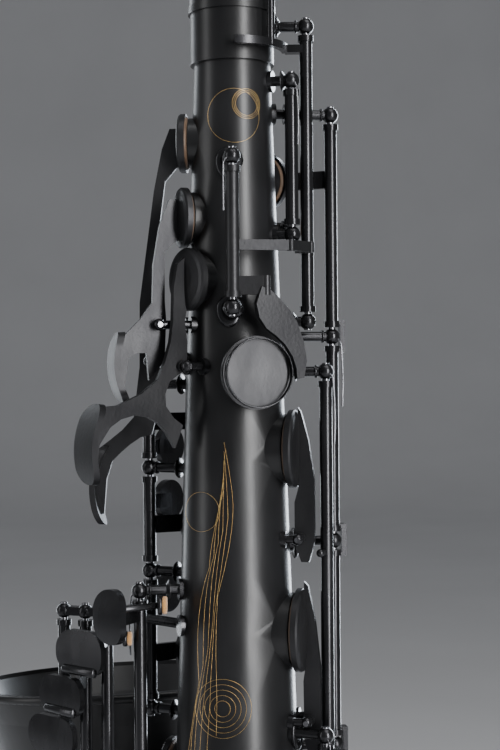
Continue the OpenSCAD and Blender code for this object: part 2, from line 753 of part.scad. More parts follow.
module side_bb_cup() {
    plate = [[23.6, 77.5], [25, 76], [27.4, 64], [29, 49], [29, 29], [28, 20], [25.4, 17.5], [23.4, 24],
        [23.2, 44], [23.8, 48]];
    color(satin) cross_key(52, SIDE_BB_PIVOT, 3, SIDE_BB, plate, 2);
}

module side_c_lever() {
    rod = SIDE_C_ROD;
    color(nickel) bored(rod) union() {
        hinge_tube(rod, -22.8, 144.8);
        strut([rod[0], rod[1], 87], on(29.2, 52, 87), 1.1);
        translate(on(29.2, 52, 87)) sphere(r = 1.4, $fn = 24);
        bar([rod[0], rod[1], -8], on(37, 57, -8), 8, 2);
        spoke(57) translate([37, 0, -6]) spatula(26, 9, 2, 40);
    }
}

module side_bb_lever() {
    rod = SIDE_BB_ROD;
    color(nickel) bored(rod) union() {
        hinge_tube(rod, -16.8, 24.3);
        strut([rod[0], rod[1], 20.5], on(30.6, 52, 20.5), 1);
        translate(on(30.6, 52, 20.5)) sphere(r = 1.3, $fn = 24);
        bar([rod[0], rod[1], 12], on(39, 38, 12), 8, 2);
        spoke(38) translate([39, 0, 12]) spatula(24, 9, 2, 40);
    }
}

module high_e() {
    rod = E_ROD;
    top = cup_top(HIGH_E);
    color(nickel) bored(rod) union() {
        for (z = [[-26.8, 16.8], [23.2, 86.8], [93.2, 156.8], [163.2, 232.8]])
            hinge_tube(rod, z[0], z[1]);
        for (z = [20, 90, 160])
            spoke(75) translate([rod_radius(rod) + 3.1, 0, z - 5.5]) cube([1.6, 4, 11 ]);
        for (z = [20, 90, 160], side = [-1, 1])
            spoke(75) translate([rod_radius(rod), 0, z + side * 4.8 - 0.7]) cube([4.7, 4, 1.4]);
        cup(HIGH_E);
        bar([rod[0], rod[1], HIGH_E[1]], [top[0], top[1], HIGH_E[1]], 6, 1.8);
        bar([rod[0], rod[1], -16], on(42, 70, -16), 8, 2);
        spoke(70) translate([42, 0, -14]) spatula(26, 9, 2, 40);
    }
}

function rod_radius(rod) = norm([rod[0], rod[1]]);

module octave_lever() {
    rod = OCTAVE_ROD;
    crescent = [[-3, 175.5], [0, 174.5], [3.6, 171.6], [7, 168], [9.6, 164], [12, 157.5],
        [13, 151.5], [12, 146],
        [9.5, 145.5], [9.2, 149], [7.8, 153], [5.2, 156.8], [2, 159.6], [-1.5, 162], [-4, 165.5],
        [-5, 170]];
    color(satin) bored(rod) union() {
        hinge_tube(rod, 172.2, 214.8);
        arm([rod, [8, -27.6], [17.9, -22.2]], 189.2, 3.4, 2);
        arm([rod, [-1, -27.6]], 176, 6, 2.2);
        translate([0, -26.5, 0]) rotate([90, 0, 0]) linear_extrude(2.2) polygon(crescent);
    }
}

module octave_rocker() {
    rod = ROCKER_ROD;
    color(nickel) bored(rod) union() {
        hinge_tube(rod, 168.2, 261.8);
        arm([rod, [15, -19.4]], 189.2, 3.4, 2);
        translate([0, 0, 256]) intersection() {
            difference() {
                cylinder(r = 19, h = 2.6, $fn = 96);
                translate([0, 0, -1]) cylinder(r = 16.9, h = 5, $fn = 96);
            }
            linear_extrude(10) polygon([[0, 0], [-16, -40], [60, -80], [60, -32]]);
        }
        bar(on(18, 62, 257.3), [rod[0], rod[1], 257.3], 2.6, 4);
        translate(on(17.9, 22, 256.5)) cylinder(r = 1.3, h = 20.5, $fn = 32);
    }
}

module pip_key() {
    rod = PIP_ROD;
    color(nickel) bored(rod) union() {
        hinge_tube(rod, 197.4, 242.8);
        spoke(75) translate([0, 0, 197]) rotate([0, 90, 0]) {
            translate([0, 0, r_at(197) + 1.9]) cylinder(r = 2.6, h = 3, $fn = 32);
        }
        bar([rod[0], rod[1], 199.4], on(r_at(197) + 4.4, 75, 199.4), 3, 1.6);
    }
}

module neck_key() {
    pivot_a = NECK_PIVOT_TURN;
    ring_height = neck_foot - 4;
    ear = [6, neck_at(pivot_a)[1] + 13 * cos(pivot_a), neck_at(pivot_a)[2] + 13 * sin(pivot_a)];
    lid = [0, neck_at(66)[1] + 13.2 * cos(66), neck_at(66)[2] + 13.2 * sin(66)];
    color(nickel) difference() {
        union() {
            for (side = [-1, 1]) {
                at_neck(pivot_a) translate([side * 5.2, 13, 0]) rotate([0, 90, 0])
                    cylinder(r = 2.6, h = 2.6, center = true, $fn = 32);
                bar([side * 5.6, ear[1], ear[2]], [side * 2.4, lid[1], lid[2]], 2.6, 1.8);
                bar([side * 5, ear[1] + 0.2, ear[2] - 0.2], [side * 16.5, -3, neck_foot + 42], 3.2, 2);
                bar([side * 16, -3.2, neck_foot + 43], [side * 17.6, 0, ring_height - 1], 3.2, 2);
            }
            translate([0, 0, ring_height - 1.5]) difference() {
                cylinder(r = 18.8, h = 3, $fn = 96);
                translate([0, 0, -1]) cylinder(r = 16.4, h = 5, $fn = 96);
            }
            at_neck(66) rotate([-90, 0, 0]) translate([0, 0, 10.3]) cylinder(r = 4, h = 3.4, $fn = 32);
        }
        at_neck(pivot_a) translate([0, 13, 0]) rotate([0, 90, 0])
            cylinder(r = pin_bore, h = 40, center = true, $fn = 32);
    }
}

module g_sharp() {
    rod = GSHARP_ROD;
    top = cup_top(G_SHARP);
    color(nickel) bored(rod) union() {
        hinge_tube(rod, 0.2, 71.8);
        cup(G_SHARP);
        bar([rod[0], rod[1], 12], [top[0], top[1], 12], 6, 1.8);
        arm([rod, [-45, -3]], 68, 6, 2.2);
        translate([-47, -3.6, 68.6]) rotate([0, 0, 200]) spatula(18, 14, 2.4, 30);
    }
}

module low_csharp() {
    rod = CSHARP_ROD;
    top = bell_cup_top(CSHARP);
    color(nickel) bored(rod) union() {
        hinge_tube(rod, -199.8, LOW_TOP - 3.2);
        bell_cup(CSHARP);
        arm([rod, [-40.5, 70], [top[0], top[1]]], CSHARP[1], 7, 2.2);
        arm([rod, [-49.3, 17.5]], 54, 5, 2.2);
        translate([-50, 17, 54]) rotate([0, 0, 205]) spatula(15, 22, 2.2, 40);
    }
}

// Low B and low B flat stand open; their rods run between the body and the bell.
BELL_OPEN = 4;
module low_b() {
    rod = B_ROD;
    top = bell_cup_top(LOW_B);
    color(nickel) swung(rod, -BELL_OPEN) bored(rod) union() {
        hinge_tube(rod, -129.8, LOW_TOP - 3.2);
        bell_cup(LOW_B);
        arm([rod, [43.2, 55.5], [top[0] + 0.6, top[1]]], LOW_B[1], 7, 2.4);
        arm([rod, [-52.3, 22.5]], 39, 5, 2.2);
        translate([-53, 22, 39]) rotate([0, 0, 205]) spatula(13, 22, 2.2, 40);
    }
}

module low_bb() {
    rod = BB_ROD;
    top = bell_cup_top(LOW_BB);
    color(nickel) swung(rod, -BELL_OPEN) bored(rod) union() {
        hinge_tube(rod, -62.8, LOW_TOP - 3.2);
        bell_cup(LOW_BB);
        arm([rod, [51.6, 59], [top[0] + 0.3, top[1]]], LOW_BB[1], 6.4, 2.4);
        arm([rod, [-54.3, 26.5]], 25, 5, 2.2);
        translate([-55, 26, 25]) rotate([0, 0, 205]) spatula(13, 24, 2.2, 40);
    }
}

LOW_OPEN = 7;
module low_eb() {
    rod = LOW_ROD;
    top = cup_top(LOW_EB);
    color(nickel) bored(rod) union() {
        hinge_tube(rod, -169.3, -131.2);
        cup(LOW_EB);
        bar([rod[0], rod[1], LOW_EB[1]], [top[0], top[1], LOW_EB[1]], 7, 2);
        bar([rod[0], rod[1], -140], [42, -28, -140], 8, 2);
        translate([42, -30, -140]) rotate([0, 0, -20]) spatula(13, 22, 2.2, 40);
    }
}

module low_c() {
    rod = LOW_ROD;
    top = cup_top(LOW_C);
    color(nickel) swung(rod, -LOW_OPEN) bored(rod) union() {
        hinge_tube(rod, -213.8, -175.8);
        cup(LOW_C);
        bar([rod[0], rod[1], LOW_C[1]], [top[0], top[1], LOW_C[1]], 7, 2);
        bar([rod[0], rod[1], -181], [50, -2, -181], 8, 2);
        translate([51, 0, -181]) rotate([0, 0, 15]) spatula(13, 22, 2.2, 40);
    }
}

module pad_palm_d() { pad(PALM_D); }
module pad_palm_eb() { pad(PALM_EB); }
module pad_palm_f() { pad(PALM_F); }
module pad_high_e() { pad(HIGH_E); }
module pad_side_c() { pad(SIDE_C); }
module pad_side_bb() { pad(SIDE_BB); }
module pad_b() { stack_pad(UPPER_ROD, KEY_B); }
module pad_a() { stack_pad(UPPER_ROD, KEY_A); }
module pad_g() { stack_pad(UPPER_ROD, KEY_G); }
module pad_g_sharp() { pad(G_SHARP); }
module pad_csharp() { bell_pad(CSHARP); }
module pad_low_b() { swung(B_ROD, -BELL_OPEN) bell_pad(LOW_B); }
module pad_low_bb() { swung(BB_ROD, -BELL_OPEN) bell_pad(LOW_BB); }
module pad_f() { stack_pad(LOWER_ROD, KEY_F); }
module pad_e() { stack_pad(LOWER_ROD, KEY_E); }
module pad_d() { stack_pad(LOWER_ROD, KEY_D); }
module pad_eb() { pad(LOW_EB); }
module pad_c() { swung(LOW_ROD, -LOW_OPEN) pad(LOW_C); }

placed() body_tube();
placed() neck_receiver();
placed() receiver_screw();
placed() bow();
placed() bell();
placed() bell_brace();
placed() posts();
placed() hinge_rods();
placed() pivot_screws();
placed() thumb_rest();
placed() thumb_hook();
placed() strap_ring();
placed() neck_tenon();
placed() neck_tube();
placed() neck_cork();
placed() mouthpiece();
placed() ligature();
placed() reed();
placed() octave_lever();
placed() octave_rocker();
placed() pip_key();
placed() neck_key();
placed() palm_d();
placed() palm_eb();
placed() palm_f();
placed() high_e();
placed() side_c_lever();
placed() side_c_cup();
placed() side_bb_lever();
placed() side_bb_cup();
placed() key_b();
placed() key_a();
placed() key_g();
placed() g_sharp();
placed() low_csharp();
placed() low_b();
placed() low_bb();
placed() key_f();
placed() key_e();
placed() key_d();
placed() low_eb();
placed() low_c();
placed() pad_palm_d();
placed() pad_palm_eb();
placed() pad_palm_f();
placed() pad_high_e();
placed() pad_side_c();
placed() pad_side_bb();
placed() pad_b();
placed() pad_a();
placed() pad_g();
placed() pad_g_sharp();
placed() pad_csharp();
placed() pad_low_b();
placed() pad_low_bb();
placed() pad_f();
placed() pad_e();
placed() pad_d();
placed() pad_eb();
placed() pad_c();
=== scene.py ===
"""Looks for the alto saxophone: finishes, pads, pearls, engraving, springs, floor, light and camera."""
import json
import math

import bmesh
import bpy
import numpy as np
from mathutils import Matrix, Vector


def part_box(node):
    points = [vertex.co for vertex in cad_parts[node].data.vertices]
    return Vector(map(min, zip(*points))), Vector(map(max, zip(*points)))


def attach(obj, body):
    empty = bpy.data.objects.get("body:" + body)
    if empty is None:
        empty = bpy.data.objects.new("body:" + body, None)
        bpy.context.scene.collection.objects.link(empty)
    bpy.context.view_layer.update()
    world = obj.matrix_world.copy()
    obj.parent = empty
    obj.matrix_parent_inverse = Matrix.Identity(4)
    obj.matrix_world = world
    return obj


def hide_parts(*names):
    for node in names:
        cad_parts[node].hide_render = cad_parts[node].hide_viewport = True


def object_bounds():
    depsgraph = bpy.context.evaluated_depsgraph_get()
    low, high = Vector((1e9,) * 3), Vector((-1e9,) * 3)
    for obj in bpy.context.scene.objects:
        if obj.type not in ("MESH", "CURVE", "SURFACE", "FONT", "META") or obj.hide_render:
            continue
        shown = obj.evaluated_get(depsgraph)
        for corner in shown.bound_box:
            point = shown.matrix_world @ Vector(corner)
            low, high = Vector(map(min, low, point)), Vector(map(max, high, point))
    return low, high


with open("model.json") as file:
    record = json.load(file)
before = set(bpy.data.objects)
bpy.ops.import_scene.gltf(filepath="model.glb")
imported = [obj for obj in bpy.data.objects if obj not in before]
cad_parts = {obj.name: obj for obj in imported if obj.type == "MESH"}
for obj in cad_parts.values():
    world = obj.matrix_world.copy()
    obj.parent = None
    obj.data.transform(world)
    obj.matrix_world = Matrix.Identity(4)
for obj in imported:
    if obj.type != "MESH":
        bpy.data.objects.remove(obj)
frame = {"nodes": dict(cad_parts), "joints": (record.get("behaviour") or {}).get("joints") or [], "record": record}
NODES = frame["nodes"]
BODY_OF = {n: b for b, names in frame["record"]["behaviour"]["bodies"].items() for n in names}
SLOT_OF = {s["node"]: s["material_slot"] for s in frame["record"]["subparts"]}
CAD_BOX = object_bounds()
MM = 0.001


# ---------------------------------------------------------------- materials
class Nodes:
    """A short way to write a node tree."""

    def __init__(self, name):
        self.material = bpy.data.materials.new(name)
        self.material.use_nodes = True
        self.tree = self.material.node_tree
        self.shader = self.tree.nodes["Principled BSDF"]

    def add(self, kind, **inputs):
        node = self.tree.nodes.new(kind)
        for key, value in inputs.items():
            if key.startswith("_"):
                setattr(node, key[1:], value)
            else:
                node.inputs[key.replace("_", " ")].default_value = value
        return node

    def link(self, source, target):
        self.tree.links.new(source, target)

    def coords(self, scale=(1, 1, 1)):
        where = self.add("ShaderNodeTexCoord")
        mapping = self.add("ShaderNodeMapping")
        mapping.inputs["Scale"].default_value = scale
        self.link(where.outputs["Object"], mapping.inputs["Vector"])
        return mapping.outputs["Vector"]

    def noise(self, scale, detail=4, stretch=(1, 1, 1), roughness=0.5):
        node = self.add("ShaderNodeTexNoise", Scale=scale, Detail=detail, Roughness=roughness)
        self.link(self.coords(stretch), node.inputs["Vector"])
        return node.outputs["Fac"]

    def ramp(self, fac, low, high, start=0.3, stop=0.7):
        node = self.add("ShaderNodeMapRange")
        node.inputs["From Min"].default_value = start
        node.inputs["From Max"].default_value = stop
        node.inputs["To Min"].default_value = low
        node.inputs["To Max"].default_value = high
        self.link(fac, node.inputs["Value"])
        return node.outputs["Result"]

    def mix(self, fac, a, b):
        node = self.add("ShaderNodeMix")
        node.data_type = "RGBA"
        node.inputs["A"].default_value = (*a, 1)
        node.inputs["B"].default_value = (*b, 1)
        self.link(fac, node.inputs["Factor"])
        return node.outputs["Result"]

    def colour(self, fac, a, b):
        self.link(self.mix(fac, a, b), self.shader.inputs["Base Color"])

    def bump(self, height, strength, distance, after=None):
        node = self.add("ShaderNodeBump", Strength=strength, Distance=distance)
        self.link(height, node.inputs["Height"])
        if after is not None:
            self.link(after, node.inputs["Normal"])
        self.link(node.outputs["Normal"], self.shader.inputs["Normal"])
        return node.outputs["Normal"]

    def set(self, **values):
        for key, value in values.items():
            self.shader.inputs[key.replace("_", " ")].default_value = value


def coated_metal(name, dark, light, metallic, rough, coat=0.0, grain=0.02, wear=900):
    """Lacquered or plated metal: soft cloudy colour, uneven gloss and a fine orange peel."""
    m = Nodes(name)
    cloud = m.noise(38, 5)
    m.colour(m.ramp(cloud, 0, 1, 0.35, 0.65), dark, light)
    smear = m.noise(160, 6, (1, 1, 0.35))
    m.link(m.ramp(smear, rough[0], rough[1]), m.shader.inputs["Roughness"])
    peel = m.noise(wear, 3)
    m.bump(peel, grain, 0.0004)
    m.set(Metallic=metallic, Coat_Weight=coat, Coat_Roughness=0.22)
    return m.material


def turned_steel():
    m = Nodes("screw_steel")
    rings = m.noise(2600, 3, (1, 1, 0.08))
    m.colour(m.ramp(rings, 0, 1), (0.16, 0.16, 0.17), (0.34, 0.34, 0.36))
    m.link(m.ramp(rings, 0.16, 0.34), m.shader.inputs["Roughness"])
    m.bump(rings, 0.08, 0.0003)
    m.set(Metallic=1.0)
    return m.material


def leather():
    m = Nodes("pad_leather")
    cells = m.add("ShaderNodeTexVoronoi", Scale=1500.0)
    m.link(m.coords(), cells.inputs["Vector"])
    blotch = m.noise(240, 5)
    m.colour(m.ramp(blotch, 0, 1), (0.075, 0.042, 0.024), (0.13, 0.078, 0.045))
    m.link(m.ramp(blotch, 0.42, 0.62), m.shader.inputs["Roughness"])
    m.bump(cells.outputs["Distance"], 0.25, 0.0003)
    m.set(Sheen_Weight=0.15)
    return m.material


def cork():
    m = Nodes("cork")
    cells = m.add("ShaderNodeTexVoronoi", Scale=900.0)
    m.link(m.coords(), cells.inputs["Vector"])
    flecks = m.noise(420, 6, roughness=0.7)
    m.colour(m.ramp(flecks, 0, 1, 0.42, 0.6), (0.20, 0.10, 0.045), (0.56, 0.36, 0.19))
    pits = m.bump(flecks, 0.5, 0.0006)
    m.bump(cells.outputs["Distance"], 0.2, 0.0003, pits)
    m.set(Roughness=0.85)
    return m.material


def felt():
    m = Nodes("felt_tan")
    fibres = m.noise(2300, 8, (1, 1, 0.4), 0.75)
    m.colour(m.ramp(fibres, 0, 1), (0.40, 0.18, 0.045), (0.62, 0.33, 0.11))
    m.bump(fibres, 0.8, 0.0006)
    m.set(Roughness=0.95, Sheen_Weight=0.5, Sheen_Roughness=0.5)
    return m.material


def cane():
    m = Nodes("cane")
    fibres = m.noise(420, 6, (1, 1, 1), 0.7)
    grain = m.noise(90, 4, (14, 0.5, 0.5))
    m.colour(m.ramp(grain, 0, 1), (0.50, 0.36, 0.15), (0.76, 0.62, 0.33))
    m.bump(fibres, 0.15, 0.0002)
    m.set(Roughness=0.55)
    return m.material


def hard_rubber():
    m = Nodes("hard_rubber")
    haze = m.noise(120, 5)
    m.colour(m.ramp(haze, 0, 1), (0.007, 0.007, 0.008), (0.017, 0.016, 0.016))
    m.link(m.ramp(haze, 0.16, 0.3), m.shader.inputs["Roughness"])
    m.bump(m.noise(1400, 3), 0.03, 0.0002)
    m.set(Coat_Weight=0.3)
    return m.material


def dark_pearl():
    m = Nodes("dark_pearl")
    swirl = m.noise(300, 6, (1, 1, 2), 0.65)
    m.colour(m.ramp(swirl, 0, 1, 0.35, 0.65), (0.012, 0.013, 0.015), (0.055, 0.058, 0.065))
    m.set(Roughness=0.12, Coat_Weight=0.7, Coat_Roughness=0.05)
    return m.material


def gold_line():
    m = Nodes("gold_line")
    worn = m.noise(700, 4)
    m.colour(m.ramp(worn, 0, 1), (0.42, 0.27, 0.09), (0.72, 0.5, 0.2))
    m.link(m.ramp(worn, 0.28, 0.45), m.shader.inputs["Roughness"])
    m.set(Metallic=1.0)
    return m.material


MATERIALS = {
    "black_lacquer": coated_metal("black_lacquer", (0.006, 0.006, 0.0065), (0.011, 0.011, 0.012), 0.3,
                                  (0.32, 0.4), coat=0.1, grain=0.04),
    "black_nickel": coated_metal("black_nickel", (0.022, 0.022, 0.024), (0.04, 0.04, 0.043), 0.85,
                                 (0.2, 0.32), coat=0.1),
    "satin_key": coated_metal("satin_key", (0.026, 0.026, 0.028), (0.042, 0.042, 0.044), 0.85,
                              (0.38, 0.48), grain=0.14),
    "screw_steel": turned_steel(),
    "pad_leather": leather(),
    "cork": cork(),
    "hard_rubber": hard_rubber(),
    "gold_trim": coated_metal("gold_trim", (0.50, 0.33, 0.11), (0.62, 0.43, 0.17), 1.0, (0.16, 0.3)),
    "cane": cane(),
}
FELT = felt()
PEARL = dark_pearl()
GOLD_LINE = gold_line()


def finish_nodes():
    for name, obj in NODES.items():
        obj.data.materials.clear()
        obj.data.materials.append(MATERIALS[SLOT_OF[name]])
        if name in ("posts", "neck_tube"):
            continue
        edge = obj.modifiers.new("edge", "BEVEL")
        edge.width = 0.22 * MM
        edge.segments = 2
        edge.limit_method = "ANGLE"
        edge.angle_limit = math.radians(34)
        edge.use_clamp_overlap = True


# ---------------------------------------------------------------- helpers
def shade_smooth(mesh):
    for face in mesh.polygons:
        face.use_smooth = True


def link(obj, material, body):
    bpy.context.scene.collection.objects.link(obj)
    obj.data.materials.append(material)
    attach(obj, body)
    return obj


def frame_on(centre, axis):
    """A matrix whose +Z is the axis."""
    z = Vector(axis).normalized()
    helper = Vector((0, 0, 1)) if abs(z.z) < 0.9 else Vector((1, 0, 0))
    x = helper.cross(z).normalized()
    y = z.cross(x)
    m = Matrix((x, y, z)).transposed().to_4x4()
    m.translation = centre
    return m


def lathe(profile, matrix, name, steps=64):
    """Turns a list of (radius, height) points about +Z."""
    bm = bmesh.new()
    rings = []
    for radius, height in profile:
        if radius < 1e-7:
            rings.append([bm.verts.new(matrix @ Vector((0, 0, height)))])
            continue
        ring = []
        for i in range(steps):
            t = 2 * math.pi * i / steps
            ring.append(bm.verts.new(matrix @ Vector((radius * math.cos(t), radius * math.sin(t), height))))
        rings.append(ring)
    for low, high in zip(rings, rings[1:]):
        for i in range(steps):
            j = (i + 1) % steps
            corners = [low[i % len(low)], low[j % len(low)], high[j % len(high)], high[i % len(high)]]
            seen = []
            for v in corners:
                if v not in seen:
                    seen.append(v)
            if len(seen) > 2:
                bm.faces.new(seen)
    bmesh.ops.recalc_face_normals(bm, faces=bm.faces)
    mesh = bpy.data.meshes.new(name)
    bm.to_mesh(mesh)
    bm.free()
    shade_smooth(mesh)
    return bpy.data.objects.new(name, mesh)


def wire(points, radius, name, material, body, cyclic=False):
    curve = bpy.data.curves.new(name, "CURVE")
    curve.dimensions = "3D"
    curve.bevel_depth = radius
    curve.bevel_resolution = 2
    curve.use_fill_caps = True
    spline = curve.splines.new("POLY")
    spline.points.add(len(points) - 1)
    for point, co in zip(spline.points, points):
        point.co = (*co, 1)
    spline.use_cyclic_u = cyclic
    obj = bpy.data.objects.new(name, curve)
    return link(obj, material, body)


def disc_facts(node):
    """Centre, axis, radius and thickness of a disc-shaped CAD node."""
    co = np.array([v.co[:] for v in NODES[node].data.vertices])
    low, high = co.min(0), co.max(0)
    centre = (low + high) / 2
    vectors = np.linalg.eigh(np.cov((co - co.mean(0)).T))[1]
    axis = vectors[:, 0]
    along = (co - centre) @ axis
    flat = (co - centre) - np.outer(along, axis)
    return Vector(centre), Vector(axis), float(np.linalg.norm(flat, axis=1).max()), float(np.ptp(along))


# ---------------------------------------------------------------- the tube's own shape, read from the frame
TUBE_LOW, TUBE_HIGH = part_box("body_tube")
RECEIVER_LOW, RECEIVER_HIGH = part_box("neck_receiver")
AXIS_Y = (RECEIVER_LOW.y + RECEIVER_HIGH.y) / 2


def tube_profile():
    """Radius of the bare tube at its two ends."""
    co = np.array([v.co[:] for v in NODES["body_tube"].data.vertices])
    radii = np.hypot(co[:, 0], co[:, 1] - AXIS_Y)
    top = radii[co[:, 2] > TUBE_HIGH.z - 1e-5].max()
    foot = radii[co[:, 2] < TUBE_LOW.z + 1e-5].max()
    return foot, top


FOOT_R, TOP_R = tube_profile()


def tube_r(z):
    return FOOT_R + (TOP_R - FOOT_R) * (z - TUBE_LOW.z) / (TUBE_HIGH.z - TUBE_LOW.z)


def on_tube(bearing, z, lift=0.0):
    """A point on the tube: bearing 0 faces the player, +90 the player's right."""
    r = tube_r(z) + lift
    t = math.radians(bearing)
    return Vector((r * math.sin(t), AXIS_Y - r * math.cos(t), z))


# ---------------------------------------------------------------- pads
def make_pads():
    for node in sorted(NODES):
        if not node.startswith("pad_"):
            continue
        centre, axis, radius, thick = disc_facts(node)
        bell_pad = node in ("pad_csharp", "pad_low_b", "pad_low_bb")
        hub_y = AXIS_Y + (0.1 if bell_pad else 0)
        outward = Vector((centre.x, centre.y - hub_y, 0))
        if axis.dot(outward) > 0:
            axis = -axis
        m = frame_on(centre, axis)
        h = thick / 2
        seat = min(radius * 0.52, 9 * MM)
        leather_skin = [
            (0, -h), (radius * 0.97, -h), (radius, -h * 0.7), (radius, h * 0.25),
            (radius * 0.985, h * 0.6), (radius * 0.94, h * 0.88), (radius * 0.86, h),
            (radius * 0.7, h * 0.97), (seat + 0.4 * MM, h * 0.9), (seat, h * 0.78), (0, h * 0.78),
        ]
        body = BODY_OF[node]
        skin = link(lathe(leather_skin, m, node + "_skin"), MATERIALS["pad_leather"], body)
        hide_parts(node)
        dome = [(0, h * 0.99), (seat * 0.25, h * 0.98), (seat * 0.3, h * 0.9), (seat * 0.86, h * 0.88),
                (seat * 0.95, h * 0.84), (seat * 0.97, h * 0.79), (0, h * 0.79)]
        link(lathe(dome, m, node + "_resonator"), MATERIALS["black_nickel"], body)


# ---------------------------------------------------------------- places given in the model's working frame
RING_OUT = 33
RING_Z = -5
SEAM = 252
TAPER = 0.033


def work(x, y, z):
    """A point of the CAD's working frame, in millimetres, with +Z up the tube's axis."""
    return Vector((x, y + RING_OUT, z - RING_Z)) * MM


def spoke(r, bearing, z):
    t = math.radians(bearing)
    return work(r * math.sin(t), -r * math.cos(t), z)


def spoke_dir(bearing):
    t = math.radians(bearing)
    return Vector((math.sin(t), -math.cos(t), 0))


def hinge_of(body):
    for joint in frame["joints"]:
        if joint["child"] == body:
            return Vector(joint["pos_m"])
    raise ValueError(body)


def swung(body, degrees):
    """Turns a point or a direction about the body's upright hinge."""
    at = hinge_of(body)
    turn = Matrix.Rotation(math.radians(degrees), 4, "Z")
    return Matrix.Translation(at) @ turn @ Matrix.Translation(-at)


STACK_OPEN = 9
STACK_TOUCH = {
    "key_b": (30.5, 122), "key_a": (31, 103), "key_g": (32, 70),
    "key_f": (37, -20), "key_e": (38, -60), "key_d": (39, -101),
}


def pearls():
    """A domed dark pearl in the seat of each stack key."""
    dome = [(0, 1.1), (2.4, 1.0), (4.2, 0.7), (5.4, 0.2), (5.9, -0.4), (5.9, -1.2), (0, -1.2)]
    for body, (r, z) in STACK_TOUCH.items():
        m = swung(body, STACK_OPEN) @ frame_on(spoke(r + 2.9, -160, z), spoke_dir(-160))
        pearl = lathe([(a * MM, b * MM) for a, b in reversed(dome)], m, "pearl_" + body)
        link(pearl, PEARL, body)


def ring_profile(inner, outer, low, high, soft=0.2):
    """A closed washer's outline with softened corners, as (radius, height) points in metres."""
    points = [
        (inner, low + soft), (inner + soft, low), (outer - soft, low),
        (outer, low + soft), (outer, high - soft), (outer - soft, high),
        (inner + soft, high), (inner, high - soft), (inner, low + soft),
    ]
    return [(a * MM, b * MM) for a, b in points]


def wall_r(z):
    """The tube's outer radius in millimetres, at a height of the working frame."""
    return TOP_R / MM + (SEAM - z) * TAPER


THUMB_REST_Z = 147.7
THUMB_REST_BEARING = -6


def thumb_rim():
    place = spoke(wall_r(THUMB_REST_Z), THUMB_REST_BEARING, THUMB_REST_Z)
    m = frame_on(place, spoke_dir(THUMB_REST_BEARING))
    rim = lathe(ring_profile(11.0, 11.5, 5.0, 6.85, 0.15), m, "thumb_rest_rim", 96)
    link(rim, MATERIALS["black_nickel"], "instrument")


NO_COLLAR = (17, 27)  # the lower pip post and the upper side B flat post stand too close to a key


def post_rings():
    """A turned collar round the foot of each post, and a bead on the neck of the tall ones."""
    for k, (x, y, z, surface) in enumerate(POSTS):
        if k in NO_COLLAR:
            continue
        r = math.hypot(x, y)
        out = Vector((x, y, 0)).normalized()
        m = frame_on(work(0, 0, z) + out * surface * MM, out)
        foot = [(1.75, 2.2), (2.3, 1.9), (2.7, 1.5), (3.2, 1.35), (3.5, 1.0), (1.6, 0.9)]
        profile = [(a * MM, b * MM) for a, b in reversed(foot)]
        collar = lathe(profile + [profile[0]], m, "post_foot_%d" % k, 40)
        link(collar, MATERIALS["black_nickel"], "instrument")
        if r - surface > 8:
            neck = frame_on(work(x, y, z) - out * 3.3 * MM, out)
            link(lathe(ring_profile(1.6, 2.2, -0.4, 0.4, 0.15), neck, "post_bead_%d" % k, 32),
                 MATERIALS["black_nickel"], "instrument")


PLATED_POSTS = (("octave", 218), ("octave", 169), ("e", 90), ("side_bb", 27.5))


def post_plates():
    """Drop-shaped plates that follow the tube under the posts the thumb and the right hand reach past."""
    outline = [(1.5, 1.25), (3.2, 1.2), (3.8, 1.05), (4.2, 0.75), (4.3, 0.4), (4.3, -0.15), (1.5, -0.15)]
    steps = 56
    for rod, height in PLATED_POSTS:
        x, y = RODS[rod]
        bearing = math.degrees(math.atan2(x, -y))
        centre = work(0, 0, height).z
        bm = bmesh.new()
        rings = []
        for radius, lift in outline:
            ring = []
            for i in range(steps):
                t = 2 * math.pi * i / steps
                fall = 1.45 if math.sin(t) < 0 else 1.0
                z = centre + radius * MM * math.sin(t) * fall
                turn = math.degrees(radius * MM * math.cos(t) / tube_r(z))
                ring.append(bm.verts.new(on_tube(bearing + turn, z, lift * MM)))
            rings.append(ring)
        for a, b in zip(rings, rings[1:] + rings[:1]):
            for i in range(steps):
                j = (i + 1) % steps
                bm.faces.new((a[i], a[j], b[j], b[i]))
        bmesh.ops.recalc_face_normals(bm, faces=bm.faces)
        mesh = bpy.data.meshes.new("post_plate")
        bm.to_mesh(mesh)
        bm.free()
        shade_smooth(mesh)
        plate = bpy.data.objects.new("post_plate_%s_%d" % (rod, height), mesh)
        link(plate, MATERIALS["black_nickel"], "instrument")


RODS = {
    "upper": (-21, 26.5), "lower": (-26, 31.8), "gsharp": (-32.2, 7.4), "e": (32.8, -8.8),
    "side_c": (26.8, -15.4), "side_bb": (20.8, -24.8), "low": (42, -16), "octave": (-10.6, -22.7),
    "rocker": (22.1, -11.7), "pip": (15.7, -13.2),
}
POST_HEIGHTS = {
    "upper": (144, 115, 79, 31), "lower": (-9, -50.5, -91.5, -133), "gsharp": (75, -3),
    "e": (236, 160, 90, 20, -30), "side_c": (148, -26), "side_bb": (27.5, -20), "low": (-128, -172.5, -217),
    "octave": (218, 169), "rocker": (265, 165), "pip": (246, 194.2),
}


def skin_r(z):
    """Outer radius under a post: the receiver's above the seam, the tube's below it."""
    return 14.2 if z > SEAM else tube_r((z - RING_Z) * MM) / MM


POSTS = [(*RODS[rod], z, skin_r(z)) for rod, heights in POST_HEIGHTS.items() for z in heights]

